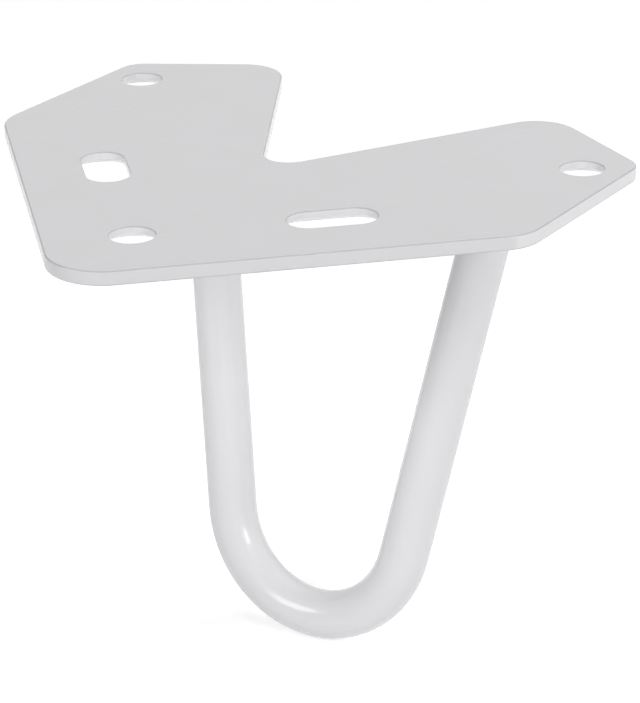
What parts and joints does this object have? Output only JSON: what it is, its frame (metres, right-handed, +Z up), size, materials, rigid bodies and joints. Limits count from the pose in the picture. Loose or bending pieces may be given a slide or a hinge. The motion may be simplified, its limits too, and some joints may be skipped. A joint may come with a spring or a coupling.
{
  "type": "hairpin leg",
  "caption": "Short furniture leg: an L-shaped mounting plate with screw holes and slots, and a round rod bent into a leaning hairpin welded under it.",
  "frame": {"origin": "on the plate's top face, at the axis of the corner screw hole", "axes": "+Z up, out of the face that meets the furniture; +X and +Y along the plate's two straight outer edges, away from the corner hole, so the leg hangs below, towards -Z"},
  "size_m": [0.1085, 0.1085, 0.1016],
  "materials": {
    "white_coat": "glossy white powder coat"
  },
  "bodies": {
    "root": {"mounting_plate": "white_coat", "hairpin_rod": "white_coat", "weld_bead_right": "white_coat", "weld_bead_left": "white_coat"}
  },
  "joints": []
}
